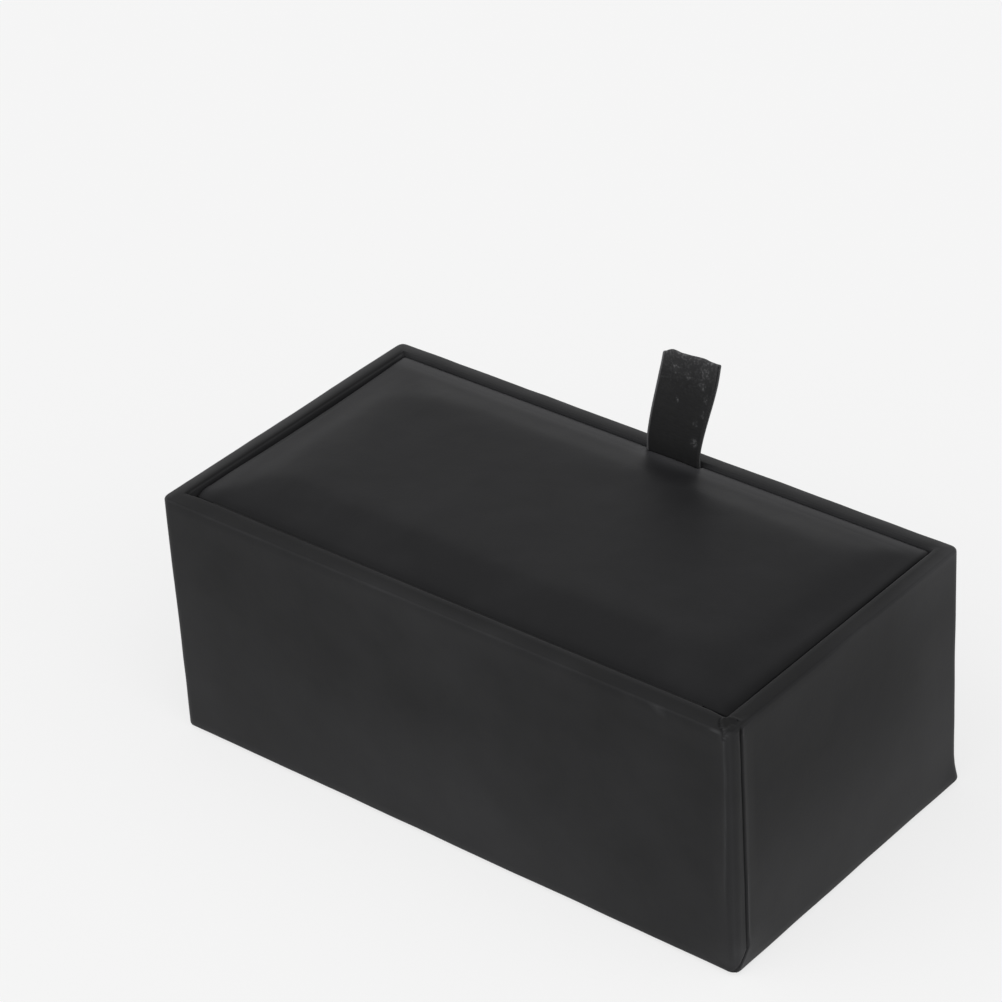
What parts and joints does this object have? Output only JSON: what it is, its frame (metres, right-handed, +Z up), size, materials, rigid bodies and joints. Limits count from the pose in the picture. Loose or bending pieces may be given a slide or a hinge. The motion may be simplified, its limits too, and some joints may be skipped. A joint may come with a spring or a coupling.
{
  "type": "cufflink display box",
  "caption": "Oblong leatherette-covered board box with a padded, hinged lid set inside its rim, a ribbon pull, and a slit velvet insert for cufflinks.",
  "frame": {"origin": "middle of the box's footprint, on the underside of its base", "axes": "+X along the length, +Y from the hinged long wall towards the wall with the ribbon pull, +Z up"},
  "size_m": [0.085, 0.0461, 0.0467],
  "materials": {
    "leatherette": "matte",
    "lid_leatherette": "matte",
    "greyboard": "matte",
    "liner_card": "matte",
    "velvet": "matte",
    "satin": "satin",
    "foam": "matte",
    "ribbon": "satin"
  },
  "bodies": {
    "box": {"wall_board": "greyboard", "wall_wrap": "leatherette", "base_board": "greyboard", "base_cover": "leatherette", "hinge_side_liner_board": "liner_card", "hinge_side_liner_velvet": "velvet", "pull_side_liner_board": "liner_card", "pull_side_liner_velvet": "velvet", "left_liner_board": "liner_card", "left_liner_velvet": "velvet", "right_liner_board": "liner_card", "right_liner_velvet": "velvet", "insert_foam": "foam", "insert_velvet": "velvet", "strip_wall_leaf": "leatherette"},
    "lid": {"strip_lid_leaf": "leatherette", "lid_board": "greyboard", "lid_foam": "foam", "lid_cover": "lid_leatherette", "lid_lining_card": "liner_card", "lid_lining_satin": "satin", "ribbon_tail": "ribbon"},
    "ribbon_pull": {"ribbon_tab": "ribbon"}
  },
  "joints": [
    {"name": "lid_hinge", "type": "hinge", "parent": "box", "child": "lid", "pos_m": [0, -0.0197, 0.0332], "axis": [1, 0, 0], "range_deg": [0, 100]},
    {"name": "ribbon_bend", "type": "hinge", "parent": "lid", "child": "ribbon_pull", "pos_m": [0.0032, 0.01962, 0.03455], "axis": [1, 0, 0], "range_deg": [-55, 85], "stiffness_Nm_per_rad": 0.00002}
  ]
}
